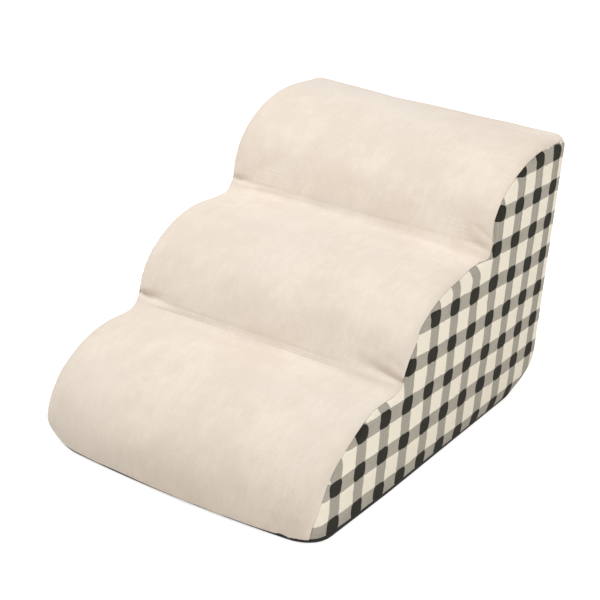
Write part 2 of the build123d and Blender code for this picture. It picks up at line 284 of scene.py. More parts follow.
def tucked(points):
    """Draws the corners in near the floor, where the side edge's small radius widens. Seen from above,
    a corner's points move towards the centre of its wide quarter circle, by that circle's radius over
    the small-cornered outline's reach in their direction. The draw fades with the height, squared, and
    so do the sides' roll under the stairs, which grows towards the rear, and the front's."""
    x, y, z = (points[..., k].copy() for k in range(3))
    behind = np.interp(z, profile[crest_place:, 1][::-1], profile[crest_place:, 0][::-1])
    corners = [(left_corner, front_y, 1, x < 0), (right_corner, front_y, 1, x > 0)]
    for (radius, height), edge, way, there in [*corners, (rear_corner, behind, -1, True)]:
        p = np.abs(x) - (stair_half_width - radius)
        q = radius - way * (y - edge)
        angle = np.arctan2(q, p)
        near = np.minimum(angle, pi / 2 - angle)
        corner = radius - side_radius
        rounding = np.maximum(side_radius**2 - corner**2 * (1 - np.sin(2 * angle)), 0)
        round_reach = corner * (np.cos(angle) + np.sin(angle)) + np.sqrt(rounding)
        reach = np.where(near < atan2(corner, radius), radius / np.cos(near), round_reach)
        share = 1 + (radius / reach - 1) * np.clip(1 - z / height, 0, 1) ** 2
        inside = (p > 0) & (q > 0) & there
        x = np.where(inside, np.sign(x) * (stair_half_width - radius + p * share), x)
        y = np.where(inside, edge + way * (radius - q * share), y)
    under = np.clip((y - roll_places[0]) / (roll_places[1] - roll_places[0]), 0, 1)
    under = roll_under * under * np.clip(1 - z / roll_height, 0, 1) ** 2
    x = x * (1 - under / stair_half_width)
    near_front = np.clip(1 - (y - front_y) / front_roll_reach, 0, 1)
    y = y + front_roll * near_front * np.clip(1 - z / roll_height, 0, 1) ** 2
    return np.stack([x, y, z], -1)


def bowed(x, y):
    """The y to which a point of the first step moves when its straight front is bent into an arc that
    stands forward in the middle: all its rows turn about one centre, and the bend fades on the tread."""
    radius = (stair_half_width**2 + front_bow**2) / (2 * front_bow)
    centre = front_y + radius
    bent = centre - np.sqrt((centre - y) ** 2 - x**2)
    fade_end = riser_places[0] + nose_foot_radius + nose_runs[0] + bow_fade
    share = np.clip((fade_end - y) / bow_fade, 0, 1)
    return y + (bent - y) * share**2 * (3 - 2 * share)


def shaped(points):
    """Points of the plain stairs with their corners tucked in and the front bowed."""
    points = tucked(points)
    points[..., 1] = bowed(points[..., 0], points[..., 1])
    return points


def coordinates(tree):
    """The point on the piece, in metres from the frame's origin."""
    return tree.nodes.new("ShaderNodeTexCoord").outputs["Object"]


def stretched(tree, vector, scale=(1, 1, 1), shift=(0, 0, 0)):
    """A place, scaled along each axis and shifted."""
    return new_node(tree, "Mapping", Scale=scale, Location=shift, Vector=vector).outputs[0]


def noise(tree, vector, scale, detail=2.0, roughness=0.5):
    """Cloudy values from 0 to 1, with so many clouds to the metre."""
    node = new_node(tree, "TexNoise", Vector=vector, Scale=scale, Detail=detail, Roughness=roughness)
    return node.outputs["Fac"]


def blend_colours(tree, share, first, second):
    """The first colour, turned by a share from 0 to 1 into the second."""
    node = tree.nodes.new("ShaderNodeMix")
    node.data_type = "RGBA"
    wire(tree, share, node.inputs[0])
    wire(tree, first, node.inputs[6])
    wire(tree, second, node.inputs[7])
    return node.outputs[2]


def spread(tree, value, low, high, to_low=0.0, to_high=1.0):
    """A value between low and high, carried over to the second range with eased ends."""
    node = tree.nodes.new("ShaderNodeMapRange")
    node.interpolation_type = "SMOOTHSTEP"
    wire(tree, value, node.inputs[0])
    for socket, number in zip(list(node.inputs)[1:5], (low, high, to_low, to_high)):
        wire(tree, number, socket)
    return node.outputs[0]


def coated(material, colour, height, depth, strength=1.0):
    """The material, once it has its colour and the relief of a height from 0 to 1, that deep in metres."""
    tree = material.node_tree
    shader = tree.nodes["Principled BSDF"]
    bump = new_node(tree, "Bump", Strength=strength, Distance=depth, Height=height)
    wire(tree, colour, shader.inputs["Base Color"])
    wire(tree, bump.outputs[0], shader.inputs["Normal"])
    return material


def surface(name, roughness, sheen=0.0, metallic=0.0, specular=0.5):
    """A new material and its tree, with the plain numbers set on its Principled shader."""
    material = bpy.data.materials.new(name)
    material.use_nodes = True
    tree = material.node_tree
    plain = {"Roughness": roughness, "Sheen Weight": sheen, "Metallic": metallic}
    plain["Specular IOR Level"] = specular
    for socket, number in plain.items():
        tree.nodes["Principled BSDF"].inputs[socket].default_value = number
    return material, tree


def foam_finish():
    """Open-celled foam: pale yellow, with fine dark pores."""
    material, tree = surface("foam", 0.95)
    place = coordinates(tree)
    pores = noise(tree, place, 900.0, 1.0)
    pale, deep, pore = (0.80, 0.76, 0.62, 1), (0.72, 0.67, 0.52, 1), (0.45, 0.40, 0.28, 1)
    colour = blend_colours(tree, noise(tree, place, 14.0), pale, deep)
    colour = blend_colours(tree, spread(tree, pores, 0.56, 0.68), colour, pore)
    return coated(material, colour, pores, 0.6 * mm)


def foam_mesh():
    """The core's solid as one closed skin of even squares, smoothed, moved in along its normals by the
    slack under the cover, pressed in along the valleys by a dent that fades with the square of the
    distance from them, and tucked in at its corners as the cover is."""
    copy = bpy.data.objects.new("foam_copy", nodes["foam_core"].data.copy())
    scene.collection.objects.link(copy)
    copy.modifiers.new("weld", "WELD").merge_threshold = 0.01 * mm
    remesh = copy.modifiers.new("remesh", "REMESH")
    remesh.mode = "VOXEL"
    remesh.voxel_size = foam_voxel
    copy.modifiers.new("soften", "SMOOTH").iterations = 4
    mesh = bpy.data.meshes.new_from_object(copy.evaluated_get(bpy.context.evaluated_depsgraph_get()))
    bpy.data.objects.remove(copy)
    mesh.name = "foam_block"
    points = np.empty(len(mesh.vertices) * 3, np.float32)
    normals = np.empty(len(mesh.vertices) * 3, np.float32)
    mesh.vertices.foreach_get("co", points)
    mesh.vertices.foreach_get("normal", normals)
    points = points.reshape(-1, 3) - foam_slack * normals.reshape(-1, 3)
    for start in hollow_starts:
        y, z, normal_y, normal_z = on_profile(start + 0.75 * valley_radius)
        dent = foam_dent * np.exp(-((points[:, 1] - y) ** 2 + (points[:, 2] - z) ** 2) / dent_reach**2)
        points[:, 1:] -= dent[:, None] * (normal_y, normal_z)
    points[:, 1] -= bowed(points[:, 0], points[:, 1]) - points[:, 1]
    mesh.vertices.foreach_set("co", shaped(points).astype(np.float32).ravel())
    mesh.materials.clear()
    mesh.materials.append(foam_finish())
    mesh.polygons.foreach_set("use_smooth", np.ones(len(mesh.polygons), bool))
    mesh.update()
    return mesh


foam = bpy.data.objects.new("foam_block", foam_mesh())
scene.collection.objects.link(foam)
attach(foam, "cover")
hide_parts("foam_core")

# Tread cover: one strip of short beige plush with a thin padding, from the front hem over the three
# noses to the crest, sewn to the side panels along its edges. A cloth simulation swells it a little, and
# its creases and sewn lips are put on after that.
seam_drop = 8 * mm
foot_climb = 5 * mm
foot_reach = 70 * mm
foot_moves = ((0, 70, 6),)
lower_moves = ((-125, -20, -5.5), (0, 25, 4.5), (25, 70, 3), (70, 100, -3))
upper_moves = ((-75, -5, -5), (5, 20, 7), (20, 65, -4.5), (65, 230, 2.5))
left_foot_drop = 4 * mm
seam_lip = 0.8 * mm
seam_tuck = 1.0 * mm
gather_depth, gather_reach = 0.4 * mm, 6 * mm
rim_height = 7.6 * mm
hem_run = 4.2 * mm
crest_seam_drop = 10 * mm
tread_pitch = 3 * mm
fold_pitch = 1.2 * mm
hem_crown = 2.0 * mm
hem_crown_reach = 60 * mm
swell_pressure = 4.0
swell_frames = 20
swell_pitch = 8 * mm
tread_swell_cap = 4 * mm
plush_light, plush_dark = (0.865, 0.780, 0.682, 1), (0.730, 0.628, 0.527, 1)
# plush_tuft_gap_shade is painted shade, laid into the plush between its tufts where the pile is low.
plush_grey, plush_tuft_gap_shade = (0.780, 0.722, 0.652, 1), (0.42, 0.34, 0.27, 1)
valley_fill = 7 * mm
fill_reach = 24 * mm
left_fill, right_fill = (-8 * mm, 50 * mm), (0, 90 * mm)
fold_span = (-10 * mm, 55 * mm)
crease_width = 6 * mm
pleat_depth, pleat_width, pleat_reach = 0.45 * mm, 13 * mm, 26 * mm
wave_depth, wave_size = 0.9 * mm, 55 * mm
ripple_depth, ripple_size = 0.35 * mm, 24 * mm
slack_reach = 20 * mm
shoulder_swell = 4 * mm
shoulder_place = 165 * mm
shoulder_reach = 100 * mm
shoulder_span = (30 * mm, 150 * mm)


def run_behind(height):
    """The distance along the outline at which it passes a height on its back."""
    return float(np.interp(-height, -profile[crest_place:, 1], profile_run[crest_place:]))


def cover_surface(run, across):
    """(points, normals) of the plain covered stairs: the outline carried across the width, where the
    last stretch on each side rolls round the side edge as a quarter circle."""
    run, across = np.broadcast_arrays(run, across)
    y, z, normal_y, normal_z = on_profile(run)
    roll = np.clip((np.abs(across) - flat_half) / side_radius, 0, pi / 2)
    side = np.sign(across)
    x = np.where(roll > 0, side * (flat_half + side_radius * np.sin(roll)), across)
    drop = side_radius * (1 - np.cos(roll))
    points = np.stack([x, y - normal_y * drop, z - normal_z * drop], -1)
    normals = np.stack([side * np.sin(roll), normal_y * np.cos(roll), normal_z * np.cos(roll)], -1)
    return points, normals


def clouds(first, second, size, seed):
    """Smooth random values from -1 to 1 over two coordinates: a seeded lattice of that cell size,
    blended with an eased share between its corners."""
    table = np.random.default_rng(seed).uniform(-1, 1, (64, 64))
    a, b = first / size, second / size
    i, j = np.floor(a).astype(int), np.floor(b).astype(int)
    u, v = a - i, b - j
    u, v = u * u * (3 - 2 * u), v * v * (3 - 2 * v)
    low = table[i % 64, j % 64] * (1 - u) + table[(i + 1) % 64, j % 64] * u
    high = table[i % 64, (j + 1) % 64] * (1 - u) + table[(i + 1) % 64, (j + 1) % 64] * u
    return low * (1 - v) + high * v


def lip_places(low, high, pitch):
    """Places from low to high at about one pitch, closer at the two ends, where the sewn lip rolls in."""
    lip = seam_lip * (1 - np.sin(np.linspace(pi / 2, 0, 5)[:-1]))
    middle = np.linspace(low + seam_lip, high - seam_lip, int((high - low) / pitch))
    return np.concatenate([low + lip, middle, high - lip[::-1]])


def thinned(places, least):
    """The places in order, without those that come nearer than the least gap to the last one kept."""
    kept = []
    for place in np.sort(places):
        if not kept or place - kept[-1] >= least:
            kept.append(place)
    return np.array(kept)


def lip_depth(inside):
    """How far the cloth sinks near its sewn edge, at a distance inside that edge: a quarter circle."""
    rest = np.clip(seam_lip - inside, 0, seam_lip)
    return seam_lip - np.sqrt(seam_lip**2 - rest**2)


def eased(value, start, end):
    """0 before the start, 1 after the end, and an eased slope between."""
    share = np.clip((value - start) / (end - start), 0, 1)
    return share**2 * (3 - 2 * share)


def drop_along(run, side):
    """How far inside the outline the side seam lies at distances along it. On the left, where side is
    below 0, it runs evenly, but for its foot. On the right it starts higher, climbs towards each tread's
    rear and drops at the next nose's foot: a sum of moves, each eased in between two distances that are
    counted from the outline's start or from the start of a hollow. Moves are in mm."""
    right = seam_drop - foot_climb
    for origin, moves in zip((0, *hollow_starts), (foot_moves, lower_moves, upper_moves)):
        for start, end, move in moves:
            right = right + move * mm * eased(run, origin + start * mm, origin + end * mm)
    return np.where(side < 0, seam_drop + left_foot_drop * (1 - eased(run, 0, foot_reach)), right)


def gathered(along, to_seam, size, seed):
    """How far stitches pull the cloth in beside a seam: uneven along it, and fading off quickly."""
    return gather_depth * (1 + clouds(along, 0 * along, size, seed)) * np.exp(-to_seam / gather_reach)


def grid_mesh(name, points, outward, material, sheet_places=None):
    """A grid of points as one smooth mesh whose faces look along the outward directions, with the map
    "cloth" of places on the flat cloth in metres where they are given."""
    rows, columns = points.shape[:2]
    index = np.arange(rows * columns).reshape(rows, columns)
    quads = np.stack([index[:-1, :-1], index[1:, :-1], index[1:, 1:], index[:-1, 1:]], -1).reshape(-1, 4)
    flat, outward = points.reshape(-1, 3), outward.reshape(-1, 3)
    first, last = flat[quads[:, 1]] - flat[quads[:, 0]], flat[quads[:, 3]] - flat[quads[:, 0]]
    if np.sum(np.cross(first, last) * outward[quads[:, 0]]) < 0:
        quads = quads[:, ::-1]
    mesh = bpy.data.meshes.new(name)
    mesh.vertices.add(len(flat))
    mesh.vertices.foreach_set("co", flat.astype(np.float32).ravel())
    mesh.loops.add(quads.size)
    mesh.loops.foreach_set("vertex_index", quads.astype(np.int32).ravel())
    mesh.polygons.add(len(quads))
    mesh.polygons.foreach_set("loop_start", np.arange(0, quads.size, 4, dtype=np.int32))
    mesh.polygons.foreach_set("use_smooth", np.ones(len(quads), bool))
    if sheet_places is not None:
        layer = mesh.uv_layers.new(name="cloth")
        layer.data.foreach_set("uv", sheet_places.reshape(-1, 2)[quads.ravel()].astype(np.float32).ravel())
    mesh.update(calc_edges=True)
    mesh.validate()
    mesh.materials.append(material)
    piece = bpy.data.objects.new(name, mesh)
    scene.collection.objects.link(piece)
    return piece


def cloth_piece(name, points, normals, sheet_places, material):
    """A cloth panel. Two more rows round its whole edge go straight in, where the seam takes it."""
    for _ in range(2):
        border = ((1, 1), (1, 1), (0, 0))
        points, normals = np.pad(points, border, "edge"), np.pad(normals, border, "edge")
        sheet_places = np.pad(sheet_places, border, "edge")
        edge = np.ones(points.shape[:2], bool)
        edge[1:-1, 1:-1] = False
        points[edge] -= normals[edge] * seam_tuck / 2
    return grid_mesh(name, points, normals, material, sheet_places)


def carried(places, kept):
    """The matrix that carries values at some kept places over to all places: in proportion between two
    kept ones, and then six times averaged with the places on both sides."""
    weights = np.stack([np.interp(places, places[kept], unit) for unit in np.eye(len(kept))], 1)
    for _ in range(6):
        weights[1:-1] = (weights[:-2] + 2 * weights[1:-1] + weights[2:]) / 4
    return weights


def blown_up(points, outward, down, across, cap):
    """How far each point of a grid of cloth moves when Blender's Cloth blows it up with pressure and no
    gravity, its border held by the seams. The simulation runs on rows and columns about one swell pitch
    apart, and the rest are carried along. Each move is multiplied by the cap over the sum of the cap and its
    own length, so that none passes the cap."""
    picks = []
    for places in (down, across):
        count = int((places[-1] - places[0]) / swell_pitch) + 2
        picks.append(np.unique(np.searchsorted(places, np.linspace(places[0], places[-1], count))))
    coarse = points[np.ix_(*picks)]
    sheet = grid_mesh("swelling_sheet", coarse, outward[np.ix_(*picks)], beige_plush)
    sewn = np.ones(coarse.shape[:2], bool)
    sewn[1:-1, 1:-1] = False
    sheet.vertex_groups.new(name="sewn").add(np.flatnonzero(sewn).tolist(), 1.0, "REPLACE")
    cloth = sheet.modifiers.new("cloth", "CLOTH")
    cloth.settings.vertex_group_mass = "sewn"
    cloth.settings.use_pressure = True
    cloth.settings.uniform_pressure_force = swell_pressure
    cloth.settings.effector_weights.gravity = 0
    cloth.collision_settings.use_collision = False
    cloth.point_cache.frame_end = swell_frames
    for number in range(1, swell_frames + 1):
        scene.frame_set(number)
    result = bpy.data.meshes.new_from_object(sheet.evaluated_get(bpy.context.evaluated_depsgraph_get()))
    after = np.empty(coarse.size, np.float32)
    result.vertices.foreach_get("co", after)
    scene.frame_set(1)
    for mesh in (sheet.data, result):
        bpy.data.meshes.remove(mesh)
    moves = after.reshape(coarse.shape) - coarse
    moves = moves * cap / (cap + np.linalg.norm(moves, axis=-1, keepdims=True))
    return np.einsum("ia,abk,jb->ijk", carried(down, picks[0]), moves, carried(across, picks[1]))


def new_group(name, outputs):
    """A node group that turns a Position into the named numbers: its tree, the place and its output."""
    tree = bpy.data.node_groups.new(name, "ShaderNodeTree")
    tree.interface.new_socket("Position", in_out="INPUT", socket_type="NodeSocketVector")
    for output in outputs:
        tree.interface.new_socket(output, in_out="OUTPUT", socket_type="NodeSocketFloat")
    return tree, tree.nodes.new("NodeGroupInput").outputs["Position"], tree.nodes.new("NodeGroupOutput")


def plush_group():
    """The nap of short plush as a node group: Mottle is the cloudy light and dark where the pile lies
    one way or the other, Drift a slower change of tone, Streak the brushed lines in the pile, and Pile
    the height of single tufts."""
    tree, place, leave = new_group("plush_nap", ("Mottle", "Drift", "Streak", "Pile"))
    broad, small = noise(tree, place, 12.0, 3.0), noise(tree, place, 45.0, 3.0, 0.6)
    mixed = calc(tree, "MULTIPLY_ADD", broad, 0.6, calc(tree, "MULTIPLY", small, 0.4))
    elsewhere = stretched(tree, place, shift=(2.3, 5.1, 1.7))
    brushed = stretched(tree, place, (1.0, 0.22, 0.22))
    tufts = calc(tree, "ADD", noise(tree, place, 620.0, 1.0), noise(tree, place, 1700.0, 1.0))
    wire(tree, spread(tree, mixed, 0.38, 0.62), leave.inputs["Mottle"])
    wire(tree, spread(tree, noise(tree, elsewhere, 7.0, 2.0), 0.35, 0.65), leave.inputs["Drift"])
    wire(tree, noise(tree, brushed, 190.0, 2.0, 0.6), leave.inputs["Streak"])
    wire(tree, calc(tree, "MULTIPLY", tufts, 0.5), leave.inputs["Pile"])
    return tree


plush_nap = plush_group()


def plush_finish(name, light, dark, grey, depth):
    """Short plush in two near tones of one colour, greyer in places, with painted shade between its tufts
    where their height is low, and with a soft sheen."""
    material, tree = surface(name, 0.92, sheen=0.2, specular=0.2)
    nap = tree.nodes.new("ShaderNodeGroup")
    nap.node_tree = plush_nap
    wire(tree, coordinates(tree), nap.inputs["Position"])
    colour = blend_colours(tree, calc(tree, "MULTIPLY", nap.outputs["Mottle"], 0.45), light, dark)
    colour = blend_colours(tree, calc(tree, "MULTIPLY", nap.outputs["Drift"], 0.45), colour, grey)
    colour = blend_colours(tree, spread(tree, nap.outputs["Streak"], 0.3, 0.75, 0.0, 0.22), colour, dark)
    # Painted shade between the tufts: the colour darkens towards the shade colour where the pile's height is
    # low.
    colour = blend_colours(tree, spread(tree, nap.outputs["Pile"], 0.30, 0.52, 0.16, 0.0), colour, depth)
    height = calc(tree, "MULTIPLY_ADD", nap.outputs["Streak"], 0.5, nap.outputs["Pile"])
    return coated(material, colour, height, 0.7 * mm, 0.55)


def crease(rows, from_seam, start, drift, length, depth):
    """How far the cloth sinks in one crease that starts at a side seam: a groove that is steep below,
    where the tread's cloth stands out of it, and slopes in gently from above. It drifts along the
    outline as it runs in from the seam, widens, and fades out over its length. Lengths are in mm."""
    share = np.clip(from_seam / (length * mm), 0, 1)
    r = rows - (start + drift * share) * mm
    width = crease_width * np.where(r > 0, 0.45 + 2.2 * share, 0.3 + 1.3 * share)
    fade = (1 - eased(share, 0, 1)) * (0.12 + 0.88 * eased(from_seam, -2 * mm, 6 * mm))
    return depth * mm * fade * np.exp(-((r / width) ** 2))


beige_plush = plush_finish("beige_plush", plush_light, plush_dark, plush_grey, plush_tuft_gap_shade)
crest_run = run_behind(tread_levels[-1] - crest_seam_drop)
edge_run = flat_half + side_radius * acos(1 - seam_drop / side_radius)
tread_rows = [lip_places(hem_run, crest_run, tread_pitch)]
for start in hollow_starts:
    tread_rows.append(np.arange(start + fold_span[0], start + fold_span[1], fold_pitch))
rows = thinned(np.concatenate(tread_rows), 0.08 * mm)[:, None]
columns = lip_places(-edge_run, edge_run, tread_pitch)[None, :]
down, across = rows[:, 0], columns[0]
rows, columns = np.broadcast_arrays(rows, columns)
row_edge = flat_half + side_radius * np.arccos(1 - drop_along(rows, columns) / side_radius)
columns = columns * row_edge / edge_run
points, normals = cover_surface(rows, columns)
to_side = row_edge - np.abs(columns)
sink = lip_depth(np.minimum(to_side, np.minimum(rows - hem_run, crest_run - rows)))
sink = sink + gathered(rows, to_side, 11 * mm, 5)
hem_pleats = 1 + clouds(columns + 0.25 * rows, rows / 5, pleat_width, 6)
sink = sink + pleat_depth * hem_pleats * np.exp(-(rows - hem_run) / pleat_reach)
from_right, from_left = row_edge - columns, row_edge + columns
right_creases = (
    ((24, 13, 100, 6.6), (37, 24, 60, 0.8)),
    ((21, 14, 70, 2.6), (34, 30, 50, 1.4), (11, 2, 40, 0.7)),
)
left_creases = (((26, 0, 100, 7.4),), ((25, 2, 85, 5.0),))
crown = hem_crown * (1 - (columns / row_edge) ** 2) * np.exp(-(rows - hem_run) / hem_crown_reach)
for start, right_folds, left_folds in zip(hollow_starts, right_creases, left_creases):
    filled = np.where(columns < 0, eased(from_left, *left_fill), eased(from_right, *right_fill))
    middle = start + 0.75 * valley_radius
    crown = crown + valley_fill * filled * np.exp(-(((rows - middle) / fill_reach) ** 2))
    for folds, from_seam in ((right_folds, from_right), (left_folds, from_left)):
        for place, drift, length, depth in folds:
            sink = sink + crease(rows - start, from_seam, place, drift, length, depth)
shoulder_run = hollow_starts[1] + shoulder_place
shoulder = np.exp(-(((rows - shoulder_run) / shoulder_reach) ** 2))
slack = wave_depth * clouds(rows, columns, wave_size, 7)
slack = slack + ripple_depth * clouds(rows, columns, ripple_size, 8)
swell = shoulder_swell * shoulder * eased(-columns, *shoulder_span)
lift = slack * np.clip(to_side / slack_reach, 0, 1) + crown + swell - sink
blown = blown_up(shaped(points + normals * crown[..., None]), normals, down, across, tread_swell_cap)
points = shaped(points + normals * lift[..., None]) + blown
tread = cloth_piece("tread_cover", points, normals, np.stack([columns, rows], -1), beige_plush)
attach(tread, "cover")
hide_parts("tread_panel")

# Side panels: yarn-dyed gingham in cream, grey and charcoal, cut to the steps' outline and sewn into
# the plush with a plain seam all round. Their bottom edges are sewn to the black base.
check_pitch = (50.455 * mm, 47.13 * mm)
check_start = (-247.52 * mm, 15.84 * mm)
stripe_half = (10.6 * mm, 9.8 * mm)
square_half = (12.3 * mm, 10.4 * mm)
square_power = 3.6
yarn_pitch = 1.0 * mm
cream_light, cream_dark = (0.952, 0.892, 0.765, 1), (0.880, 0.815, 0.690, 1)
grey_light, grey_dark = (0.505, 0.474, 0.408, 1), (0.318, 0.298, 0.252, 1)
charcoal_light, charcoal_dark = (0.037, 0.035, 0.026, 1), (0.018, 0.017, 0.013, 1)
side_pillow, pillow_reach = 1.4 * mm, 90 * mm
side_slack, side_slack_size, side_slack_reach = 0.35 * mm, 60 * mm, 25 * mm
side_pitch = 3 * mm
side_rows = 110


def gingham_group():
    """Gingham as a node group: Across and Along are how fully a point lies in an upright or a level
    stripe, Crossing how fully in a dark square, Weave the height of the yarns, and the two Yarns the
    tone of single upright and level ones. The stripes' edges wander a little, as on cloth."""
    names = ("Across", "Along", "Crossing", "Weave", "Upright Yarn", "Level Yarn")
    tree, place, leave = new_group("gingham_weave", names)
    split = tree.nodes.new("ShaderNodeSeparateXYZ")
    wire(tree, place, split.inputs[0])
    from_stripe, waves, yarns = [], [], []
    for axis, line in enumerate(((1, 0.0006, 1), (0.0006, 1, 1))):
        moved = stretched(tree, place, shift=(3.7 + 5.4 * axis, 3.7 + 5.4 * axis, 0))
        wander = calc(tree, "MULTIPLY", calc(tree, "SUBTRACT", noise(tree, moved, 9.0, 1.0), 0.5), 7 * mm)
        for scale, size in ((75.0, 3.0 * mm), (300.0, 1.0 * mm)):
            fine = calc(tree, "SUBTRACT", noise(tree, moved, scale, 1.0), 0.5)
            wander = calc(tree, "MULTIPLY_ADD", fine, size, wander)
        along = split.outputs[axis]
        shifted = calc(tree, "ADD", calc(tree, "SUBTRACT", along, check_start[axis]), wander)
        from_stripe.append(calc(tree, "PINGPONG", shifted, check_pitch[axis] / 2))
        waves.append(calc(tree, "SINE", calc(tree, "MULTIPLY", along, 2 * pi / yarn_pitch)))
        yarns.append(noise(tree, stretched(tree, place, line), 1300.0, 1.0))
    edge = 0.35 * mm
    stripes = [
        spread(tree, gap, half - edge, half + edge, 1.0, 0.0) for gap, half in zip(from_stripe, stripe_half)
    ]
    powers = [
        calc(tree, "POWER", calc(tree, "DIVIDE", gap, half), square_power)
        for gap, half in zip(from_stripe, square_half)
    ]
    roundness = calc(tree, "POWER", calc(tree, "ADD", *powers), 1 / square_power)
    crossing = spread(tree, roundness, 0.965, 1.035, 1.0, 0.0)
    weave = calc(tree, "MULTIPLY_ADD", calc(tree, "MULTIPLY", *waves), 0.5, 0.5)
    for name, result in zip(names, (*stripes, crossing, weave, *yarns)):
        wire(tree, result, leave.inputs[name])
    return tree


def gingham_finish():
    """Gingham: cream yarn both ways, grey where charcoal yarn crosses cream, and charcoal squares where
    charcoal crosses charcoal. Single yarns vary in tone, so the grey is finely lined and heathered."""
    material, tree = surface("gingham", 0.9, specular=0.15)
    weave = tree.nodes.new("ShaderNodeGroup")
    weave.node_tree = gingham_group()
    sheet_map = tree.nodes.new("ShaderNodeUVMap")
    sheet_map.uv_map = "cloth"
    wire(tree, sheet_map.outputs[0], weave.inputs["Position"])
    upright, level = weave.outputs["Upright Yarn"], weave.outputs["Level Yarn"]
    faded = spread(tree, noise(tree, sheet_map.outputs[0], 26.0, 3.0), 0.35, 0.7)
    cream = blend_colours(tree, spread(tree, level, 0.3, 0.7), cream_light, cream_dark)
    heather = noise(tree, sheet_map.outputs[0], 620.0, 2.0, 0.7)
    upright_tone = calc(tree, "MULTIPLY_ADD", upright, 0.5, calc(tree, "MULTIPLY", heather, 0.5))
    level_tone = calc(tree, "MULTIPLY_ADD", level, 0.5, calc(tree, "MULTIPLY", heather, 0.5))
    upright_grey = blend_colours(tree, spread(tree, upright_tone, 0.38, 0.62), grey_dark, grey_light)
    level_grey = blend_colours(tree, spread(tree, level_tone, 0.38, 0.62), grey_dark, grey_light)
    level_grey = blend_colours(tree, calc(tree, "MULTIPLY", faded, 0.5), level_grey, grey_light)
    charcoal = blend_colours(tree, spread(tree, upright, 0.35, 0.7), charcoal_dark, charcoal_light)
    colour = blend_colours(tree, weave.outputs["Along"], cream, level_grey)
    colour = blend_colours(tree, weave.outputs["Across"], colour, upright_grey)
    colour = blend_colours(tree, weave.outputs["Crossing"], colour, charcoal)
    return coated(material, colour, weave.outputs["Weave"], 0.25 * mm, 0.5)


gingham = gingham_finish()


def panel_outline(side):
    """(y, height of the seam line, height of the bottom edge) of a side panel's upright columns, which
    stand closer where the seam line rises steeply and along the panel's two upright edges."""
    run = np.arange(rim_height, profile_run[-1], 2 * mm)
    seam_y, seam_z, normal_y, normal_z = on_profile(run)
    seam_y = seam_y - drop_along(run, side) * normal_y
    seam_z = seam_z - drop_along(run, side) * normal_z
    turn_place = int(np.argmax(seam_y))
    top_y, top_z = np.maximum.accumulate(seam_y[:turn_place]), seam_z[:turn_place]
    heel_y, heel_z = np.maximum.accumulate(seam_y[turn_place:][::-1]), seam_z[turn_place:][::-1]
    front, rear = float(top_y[0]), float(heel_y[-1])
    lip_steps = seam_lip * (1 - np.sin(np.linspace(pi / 2, 0, 5)))
    inner = np.concatenate([top_y, heel_y[heel_z > rim_height], np.arange(front, rear, side_pitch)])
    inner = inner[(inner > front + 1.2 * seam_lip) & (inner < rear - 1.2 * seam_lip)]
    places = np.concatenate([front + lip_steps, thinned(inner, 0.7 * mm), rear - lip_steps[::-1]])
    rising = np.concatenate([[True], np.diff(top_y) > 0])
    high = np.interp(places, top_y[rising], top_z[rising])
    low = np.maximum(np.interp(places, heel_y, heel_z, left=rim_height), rim_height)
    high[-len(lip_steps):] = np.minimum(high[-len(lip_steps):], tread_levels[-1] - crest_radius)
    return places, high, low


def side_panel(name, node, side):
    """One side panel: upright columns of points between the base line and the stepped seam line. A point
    as far inside the outline as the side edge's radius lies flat on the side, and nearer ones follow
    the edge's quarter circle by their distance to the outline."""
    places, column_high, column_low = panel_outline(side)
    low, high = column_low[:, None], column_high[:, None]
    share = np.linspace(0, 1, side_rows)
    share = share + 0.6 * np.sin(2 * pi * share) / (-2 * pi)
    z = low + (high - low) * share[None, :]
    y = np.repeat(places[:, None], side_rows, 1)
    flat, outline = np.column_stack([y.ravel(), z.ravel()]), profile[::2]
    nearest = np.empty(len(flat), int)
    for part in np.array_split(np.arange(len(flat)), 24):
        gaps = flat[part, None, :] - outline[None, :, :2]
        nearest[part] = np.argmin(np.einsum("ijk,ijk->ij", gaps, gaps), 1)
    distance = np.linalg.norm(flat - outline[nearest, :2], axis=1).reshape(y.shape)
    normal = outline[nearest, 2:].reshape(y.shape + (2,))
    most = side_radius - drop_along(profile_run[::2][nearest].reshape(y.shape), side)
    seam_roll = np.arcsin(most / side_radius)
    roll = np.arcsin(np.clip(side_radius - distance, 0, most) / side_radius)
    x = flat_half + side_radius * np.cos(roll)
    points = np.stack([x, y, z], -1)
    normals = np.stack([np.cos(roll), normal[..., 0] * np.sin(roll), normal[..., 1] * np.sin(roll)], -1)
    to_seam = side_radius * (seam_roll - roll) + np.maximum(distance - side_radius, 0)
    sink = lip_depth(np.minimum(to_seam, z - rim_height)) + gathered(y + z, to_seam, 9 * mm, 13)
    pillow = side_pillow * eased(distance, side_radius, pillow_reach)
    slack = side_slack * clouds(y, z, side_slack_size, 11) * np.clip(to_seam / side_slack_reach, 0, 1)
    points = shaped(points + normals * (pillow + slack - sink)[..., None])
    sheet_places = points[..., 1:] + normal * (side_radius * (roll - np.sin(roll)))[..., None]
    points = points * (side, 1, 1)
    normals = normals * (side, 1, 1)
    piece = cloth_piece(name, points, normals, sheet_places, gingham)
    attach(piece, "cover")
    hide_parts(node)


side_panel("side_cover_right", "side_panel_right", 1)
side_panel("side_cover_left", "side_panel_left", -1)

# Back panels: plain beige plush above and below the zip. Their edges are folded in along the zip, and
# the lower one runs round the heel to the base.
slot_half_height = 6.5 * mm
slot_half_length = 168 * mm
slot_step = 4 * mm
zip_height = 74 * mm
back_slack, back_slack_size = 0.5 * mm, 60 * mm


